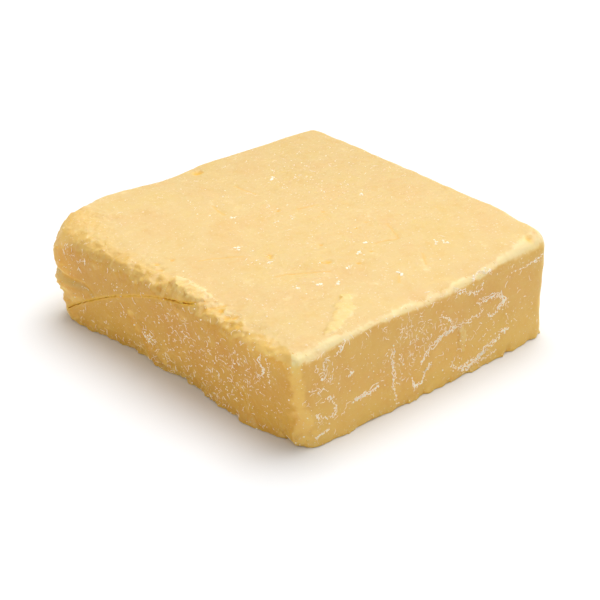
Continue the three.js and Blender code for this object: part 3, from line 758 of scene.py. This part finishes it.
def stroke(side, start):
    """A short bent thread, mostly upright on the sides and along the smears on top."""
    count = RANDOM.integers(THREAD_POINTS, THREAD_POINTS + STROKE_STEPS)
    lean = SMEARS if side == "top" else math.pi / 2
    heading = RANDOM.normal(lean, STROKE_BEND) + np.cumsum(RANDOM.normal(0, STROKE_BEND, count))
    steps = STROKE_STEP * np.stack([np.cos(heading), np.sin(heading)], axis=1)
    return thread(side, start + np.cumsum(steps, axis=0), RANDOM.uniform(*STROKE_HALF))


def ball(subdivisions):
    bm = bmesh.new()
    bmesh.ops.create_icosphere(bm, subdivisions=subdivisions, radius=1)
    points = np.array([vert.co for vert in bm.verts])
    faces = [tuple(vert.index for vert in face.verts) for face in bm.faces]
    bm.free()
    return points, faces


BALLS = {name: ball(count) for name, count in {"coarse": 1, "fine": 2}.items()}


def lump(point, out, radius, flatness, kind="fine"):
    """An uneven lump, longer one way, with its middle at a point of the surface."""
    points, faces = BALLS[kind]
    uneven = points * RANDOM.uniform(*LUMP_UNEVEN, (len(points), 1))
    shape = uneven * (1, RANDOM.uniform(*LUMP_WIDTH), flatness) * radius
    spin = Quaternion((0, 0, 1), RANDOM.uniform(0, 2 * math.pi))
    turn = Vector(out).to_track_quat("Z", "Y") @ spin
    return shape @ np.array(turn.to_matrix()).T + point - SUNK * radius * out, faces


def lumps(side, places, radii, flatness, kind="fine"):
    """Lumps at places on a side, more of them near the lesser radius."""
    points, outward = surface_at(side, places)
    sizes = radii[0] + (radii[1] - radii[0]) * RANDOM.uniform(0, 1, len(points)) ** 2
    return [lump(point, out, size, flatness, kind) for point, out, size in zip(points, outward, sizes)]


def apart(parts):
    """The parts that touch none of those before them, going by the balls around them."""
    kept, middles, reaches = [], np.empty((0, 3)), np.empty(0)
    for part in parts:
        middle = part[0].mean(axis=0)
        reach = np.linalg.norm(part[0] - middle, axis=1).max()
        if (np.linalg.norm(middles - middle, axis=1) > reaches + reach).all():
            kept.append(part)
            middles, reaches = np.vstack([middles, middle]), np.append(reaches, reach)
    return kept


def joined(name, parts):
    """One mesh of many small closed parts, each with its points and faces, none of it below the floor."""
    points = np.concatenate([part[0] for part in parts])
    points[:, 2] = np.maximum(points[:, 2], 0)
    faces, first = [], 0
    for part_points, part_faces in parts:
        faces += [tuple(first + n for n in face) for face in part_faces]
        first += len(part_points)
    return new_object(name, points, faces)


def slit(side, places, opening, depth):
    """A blade for a crack: open at the surface, thin at both ends and pointed at the bottom."""
    points, outward = surface_at(side, places)
    half = opening / 2 * np.interp(np.linspace(0, 1, len(points)), CRACK_SHARES, CRACK_WIDTHS)
    half *= RANDOM.uniform(*CRACK_UNEVEN, len(points))
    none = np.zeros(len(points))
    section = [(half, none + BLADE_TOP), (-half, none + BLADE_TOP), (none, none - depth)]
    return swept(points, outward, np.array(section).transpose(2, 0, 1))


def hollow_shade_share(points, outward, crack_line):
    """How much painted shade in deep orange lies in the pits, the grooves and the crack."""
    share = np.zeros(len(points))
    for middle, radius in PITS:
        share = np.maximum(share, PIT_PAINTED_SHADE * nearness(points, middle, PIT_REACH * radius))
    for side, line, width, rise in RIDGES:
        if rise < 0:
            places, facing = places_on(side, points, outward)
            share = np.maximum(share, GROOVE_PAINTED_SHADE * facing * line_nearness(places, line, width))
    places, _ = places_on("crumbly", points, outward)
    in_crack = line_nearness(places, crack_line, CRACK_PAINTED_SHADE)
    return np.maximum(share, np.where(points[:, 1] < -HALF[1] / 2, in_crack, 0))


def note(obj, name, values):
    """Keeps a value for each point of a mesh, for its material."""
    attribute = obj.data.attributes.new(name, "FLOAT", "POINT")
    attribute.data.foreach_set("value", np.asarray(values, dtype=float))


def mark_colours(obj, crack_line):
    """Notes how much of each of its special colours the cheese has at each point, painted shade and painted
    light among them.
    """
    points, outward = mesh_points(obj), mesh_normals(obj)
    note(obj, "painted_hollow_shade", hollow_shade_share(points, outward, crack_line))
    note(obj, "crumbly", nearness_to_any(points, CRUMBLY))
    note(obj, "flushed", nearness_to_any(points, FLUSHED))
    note(obj, "painted_light", nearness_to_any(points, PAINTED_LIGHT_AT))
    note(obj, "pale", np.max([flake_cover(points, outward, flake) for flake in FLAKES], axis=0))


def all_crumbs():
    """The crumbs to fuse to the block. They can't touch one another, or the fused mesh comes out faulty."""
    return joined("crumbs", apart([
        part for side, middle, reach, count, radii in CRUMBS_AT
        for part in lumps(side, scattered(middle, reach, count), radii, CRUMB_FLATNESS)
    ]))


def crack_places():
    """Places along the crack on the crumbly side."""
    shares = np.linspace(0, 1, CRACK_POINTS)
    return crack_point(shares) + RANDOM.normal(0, CRACK_WANDER, (CRACK_POINTS, 2))


def all_strokes():
    return joined("crust_strokes", [
        part for side, middle, reach, count in STROKES
        for start in scattered(middle, reach, count) for part in stroke(side, start)
    ])


def all_crystals():
    """The crystals on top, and the specks."""
    white = []
    for place in CRYSTALS:
        places = scattered(place, CRYSTAL_SPREAD, CRYSTAL_LUMPS)
        white += lumps("top", places, CRYSTAL_RADII, CRYSTAL_FLATNESS)
    for side, middle, reach, count in SPECKS:
        places = scattered(middle, reach, count)
        white += lumps(side, places, SPECK_RADII, CRYSTAL_FLATNESS, "coarse")
    return joined("crystals", white)


def connect(tree, value, socket):
    """Links an output to a socket, or sets the socket to a value."""
    if isinstance(value, bpy.types.NodeSocket):
        tree.links.new(value, socket)
    else:
        socket.default_value = value


def node(tree, kind, inputs, output=0, **settings):
    """One output of a new shader node."""
    made = tree.nodes.new("ShaderNode" + kind)
    for name, value in settings.items():
        setattr(made, name, value)
    for name, value in inputs.items():
        connect(tree, value, made.inputs[name])
    return made.outputs[output]


def blend(tree, share, first, second, kind="MIX"):
    """The first colour where the share is 0, and the second where it is 1, or the first one tinted by it."""
    mix = tree.nodes.new("ShaderNodeMix")
    mix.data_type, mix.blend_type = "RGBA", kind
    for value, socket in ((share, 0), (first, 6), (second, 7)):
        connect(tree, value, mix.inputs[socket])
    return mix.outputs[2]


def ramp(tree, value, low, high, most=1.0):
    """0 up to the low value, and rising to the most at the high one."""
    inputs = {"Value": value, "From Min": low, "From Max": high, "To Max": most}
    return node(tree, "MapRange", inputs, interpolation_type="SMOOTHSTEP")


def times(tree, first, second):
    return node(tree, "Math", {0: first, 1: second}, operation="MULTIPLY")


def dot(tree, first, second):
    return node(tree, "VectorMath", {0: first, 1: second}, "Value", operation="DOT_PRODUCT")


def texture(tree, where, scale, detail, roughness):
    """Random values around 0.5, which change over shorter ways for a greater scale."""
    inputs = {"Vector": where, "Scale": scale, "Detail": detail, "Roughness": roughness}
    return node(tree, "TexNoise", inputs)


def bump(tree, height, size, under=None, sunk=False):
    """Roughens the shading by a height, over another such bump or none. A sunk one goes inwards."""
    inputs = {"Height": height, "Distance": size[0] * MM, "Strength": size[1]}
    if under is not None:
        inputs["Normal"] = under
    return node(tree, "Bump", inputs, invert=sunk)


def new_material(name, colour, roughness):
    """A material, its node tree and its shader."""
    material = bpy.data.materials.new(name)
    material.use_nodes = True
    shader = material.node_tree.nodes["Principled BSDF"]
    shader.inputs["Base Color"].default_value = colour
    shader.inputs["Roughness"].default_value = roughness
    return material, material.node_tree, shader


def cheese_material():
    """Deeper on the sides, and mottled. It is paler on top and at the edges as painted light, deepest on the
    side facing -Y as painted shade, and orange in the cracks, the pits and at the foot as painted shade.
    """
    material, tree, shader = new_material("cheese", SIDE_COLOUR, CHEESE_ROUGHNESS)
    shader.inputs["Subsurface Weight"].default_value = SOFT_SHARE
    shader.inputs["Subsurface Radius"].default_value = SOFT_COLOURS
    shader.inputs["Subsurface Scale"].default_value = SOFT_REACH * MM

    where = node(tree, "TexCoord", {}, "Object")
    low = node(tree, "SeparateXYZ", {0: where}, "Z")
    backward = dot(tree, where, AWAY)
    normal = node(tree, "NewGeometry", {}, "Normal")
    upward = node(tree, "SeparateXYZ", {0: normal}, "Z")
    frontward = dot(tree, normal, (0, -1, 0))
    leftward = dot(tree, normal, (-1, -1, 0))
    squares = node(tree, "VectorMath", {0: normal, 1: normal}, operation="MULTIPLY")
    flatness = dot(tree, squares, squares)
    crumbly, painted_hollow_shade, pale, flushed, painted_light = (
        node(tree, "Attribute", {}, "Fac", attribute_name=name)
        for name in ("crumbly", "painted_hollow_shade", "pale", "flushed", "painted_light")
    )

    stretch = {"Vector": where, "Rotation": (0, 0, SMEARS), "Scale": SMEARED_SCALE}
    stretched = node(tree, "Mapping", stretch, vector_type="TEXTURE")
    smears = texture(tree, stretched, *SMEARED)
    patches = texture(tree, where, *PATCHES)
    spots = texture(tree, where, *SPOTS)
    fine = texture(tree, where, *FINE)
    dots = texture(tree, where, *DOTS)
    cells = node(tree, "TexVoronoi", {"Vector": where, "Scale": CELLS_SCALE}, "Distance")

    # Painted light along the edges: the rim's pale colour where they look up, and a golden glow where they
    # look sideways.
    lit = ramp(tree, upward, 0, 0.6)
    rim = blend(tree, ramp(tree, leftward, 0.1, 0.5), RIM_PAINTED_LIGHT_COLOUR, CRUMBLY_RIM_PAINTED_LIGHT_COLOUR)
    edge = blend(tree, lit, EDGE_PAINTED_GLOW_COLOUR, rim)
    blotchy = times(tree, flushed, ramp(tree, spots, 0.35, 0.6))
    ragged = node(tree, "Math", {0: spots, 1: EDGE_SPOTS, 2: flatness}, operation="MULTIPLY_ADD")
    # Painted light on the crumbly parts that look up.
    lit_crumbly = times(tree, ramp(tree, crumbly, 0.35, 1, 0.6), lit)

    # Layers of colour, one on another: how much of each there is, its colour, and how it is laid on.
    # A ramp's numbers are where it starts, where it is whole, and the most there is of it.
    layers = [
        # Painted shade: the deeper colour on faces towards -Y.
        (ramp(tree, frontward, 0.3, 0.9), FRONT_PAINTED_SHADE_COLOUR, "MIX"),
        # Painted light: the top's paler colour, on faces that look up.
        (ramp(tree, upward, 0.2, 0.75), TOP_PAINTED_LIGHT_COLOUR, "MIX"),
        (ramp(tree, backward, *FAR_BAND), FAR_TINT, "MULTIPLY"),
        (ramp(tree, low, *LOW_BAND), LOW_TINT, "MULTIPLY"),
        (blotchy, FLUSH, "MULTIPLY"),
        # Painted light along the edges, broken up by spots.
        (ramp(tree, ragged, 1.5, 1.1, 0.75), edge, "MIX"),
        # Painted light on parts of the crumbly side.
        (painted_light, PAINTED_LIGHT_TINT, "MULTIPLY"),
        (ramp(tree, patches, 0.48, 0.62, 0.8), PINK, "MULTIPLY"),
        (ramp(tree, patches, 0.48, 0.36, 0.7), YELLOW, "MULTIPLY"),
        (ramp(tree, spots, 0.5, 0.68, 0.8), GOLD, "MULTIPLY"),
        (ramp(tree, smears, 0.54, 0.7, 0.25), ORANGE, "MULTIPLY"),
        (ramp(tree, smears, 0.44, 0.3, 0.18), PALE, "MIX"),
        # Painted light on the crumbly parts that look up.
        (lit_crumbly, CRUMBLY_RIM_PAINTED_LIGHT_COLOUR, "MIX"),
        # Painted shade in warm orange at the foot, next to the floor.
        (ramp(tree, low, *FOOT_SHADE_BAND, 0.45), PAINTED_SHADE_ORANGE, "MIX"),
        (ramp(tree, dots, 0.66, 0.74, 0.4), WHITE, "MIX"),
        (ramp(tree, pale, 0.1, 0.9, 0.5), PALE, "MIX"),
        # Painted shade in deep orange in the pits, the grooves and the crack.
        (ramp(tree, painted_hollow_shade, 0.05, 0.7), PAINTED_SHADE_ORANGE, "MIX"),
    ]
    colour = SIDE_COLOUR
    for share, layer, kind in layers:
        colour = blend(tree, share, colour, layer, kind)
    connect(tree, colour, shader.inputs["Base Color"])

    rough = bump(tree, fine, FINE_BUMP)
    rough = bump(tree, smears, SMEARED_BUMP, rough)
    rough = bump(tree, times(tree, cells, crumbly), CREASE_BUMP, rough, sunk=True)
    connect(tree, rough, shader.inputs["Normal"])
    return material


def crust_material():
    """White with patches of the cheese's top colour, and a faint painted glow that brightens the thin crust
    although it is no lamp.
    """
    material, tree, shader = new_material("white_crust", WHITE, CRUST_ROUGHNESS)
    patches = texture(tree, node(tree, "TexCoord", {}, "Object"), *CRUST_PATCHES)
    patchy = blend(tree, ramp(tree, patches, 0.45, 0.7, 0.4), WHITE, TOP_PAINTED_LIGHT_COLOUR)
    connect(tree, patchy, shader.inputs["Base Color"])
    shader.inputs["Emission Color"].default_value = WHITE
    shader.inputs["Emission Strength"].default_value = CRUST_PAINTED_GLOW
    return material


def new_floor():
    corners = np.array([(-1, -1, 0), (1, -1, 0), (1, 1, 0), (-1, 1, 0)])
    floor = new_object("floor", corners * FLOOR_HALF, [(0, 1, 2, 3)])
    floor.data.materials.append(new_material("floor_white", FLOOR_COLOUR, FLOOR_ROUGHNESS)[0])
    return floor


def new_light():
    """White light from all around, and a large lamp high behind the block."""
    world = bpy.data.worlds.new("studio")
    world.use_nodes = True
    background = world.node_tree.nodes["Background"]
    background.inputs["Color"].default_value = WHITE_LIGHT
    background.inputs["Strength"].default_value = SKY
    bpy.context.scene.world = world

    light = bpy.data.lights.new("key", "AREA")
    light.shape = "DISK"
    light.size = LAMP["size"] * MM
    light.energy = LAMP["power"]
    lamp = bpy.data.objects.new("key", light)
    lamp.location = Vector(LAMP["place"]) * MM
    lamp.rotation_euler = (-lamp.location).to_track_quat("-Z", "Y").to_euler()
    bpy.context.scene.collection.objects.link(lamp)


def new_camera():
    """The camera, which looks down at the front corner."""
    turn, tilt = math.radians(VIEW["azimuth"]), math.radians(VIEW["elevation"])
    back = Vector((math.sin(turn) * math.cos(tilt), -math.cos(turn) * math.cos(tilt), math.sin(tilt)))
    lens = bpy.data.cameras.new("view")
    lens.lens, lens.sensor_width = LENS, SENSOR
    camera = bpy.data.objects.new("view", lens)
    camera.location = (Vector(VIEW["target"]) + back * VIEW["distance"]) * MM
    camera.rotation_euler = back.to_track_quat("Z", "Y").to_euler()
    bpy.context.scene.collection.objects.link(camera)
    return camera


# The block. The crumbs are fused to it before the crack is cut.
block = smooth_body()
add_relief(block)
combine(block, chip())
SURFACE = surface_of(block)
combine(block, all_crumbs(), "UNION")
crack_line = crack_places()
combine(block, joined("blade", [slit("crumbly", crack_line, CRACK["opening"], CRACK["depth"])]))
mark_colours(block, crack_line)

# What lies on it
crust_lines = joined("crust_lines", [part for line in CRUST for part in crust(*line)])
crust_strokes = all_strokes()
crystals = all_crystals()

cheese, white_crust = cheese_material(), crust_material()
for piece, material in (
    (block, cheese),
    (crust_lines, white_crust),
    (crust_strokes, white_crust),
    (crystals, white_crust),
):
    piece.data.materials.clear()
    piece.data.materials.append(material)
    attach(piece, "root")
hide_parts("cheese_block")

# The floor, the light and the camera
new_floor()
new_light()
bpy.context.scene.camera = new_camera()
bpy.context.scene.view_settings.view_transform = "Standard"
